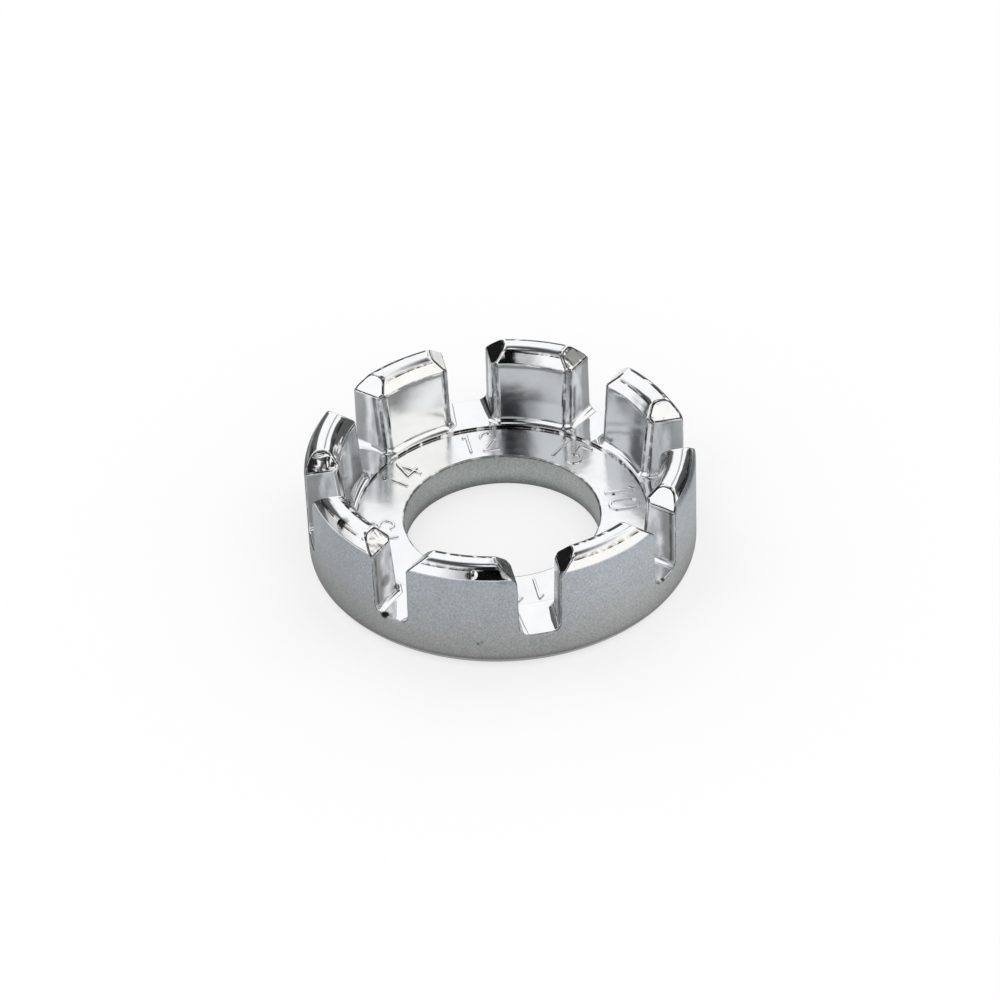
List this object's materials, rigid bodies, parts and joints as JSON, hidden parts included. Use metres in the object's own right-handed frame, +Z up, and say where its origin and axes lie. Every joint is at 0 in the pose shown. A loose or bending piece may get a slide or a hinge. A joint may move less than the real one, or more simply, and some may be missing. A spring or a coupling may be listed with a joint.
{
  "type": "spoke wrench",
  "caption": "Round spoke wrench: a plated ring with a large hole, jaws standing round its rim, and a nipple slot of another width between each two jaws, with its gauge number.",
  "frame": {"origin": "on the axis of the centre hole, at the underside", "axes": "+Z up along the hole, from the underside to the jaws; +X through the slot for gauge 10"},
  "size_m": [0.05, 0.05, 0.0155],
  "materials": {
    "satin_chrome": "fine satin plate outside and in the hole, bright on the floors",
    "bright_chrome": "bright plate over a cast surface, satin on the outer wall"
  },
  "bodies": {
    "root": {"ring_body": "satin_chrome", "jaw_10_15": "bright_chrome", "jaw_15_12": "bright_chrome", "jaw_12_14": "bright_chrome", "jaw_14_13": "bright_chrome", "jaw_13_16": "bright_chrome", "jaw_16_11": "bright_chrome", "jaw_11_17": "bright_chrome", "jaw_17_10": "bright_chrome", "gauge_mark_10": "bright_chrome", "gauge_mark_15": "bright_chrome", "gauge_mark_12": "bright_chrome", "gauge_mark_14": "bright_chrome", "gauge_mark_13": "bright_chrome", "gauge_mark_16": "bright_chrome", "gauge_mark_11": "bright_chrome", "gauge_mark_17": "bright_chrome", "casting_pips": "bright_chrome"}
  },
  "joints": []
}
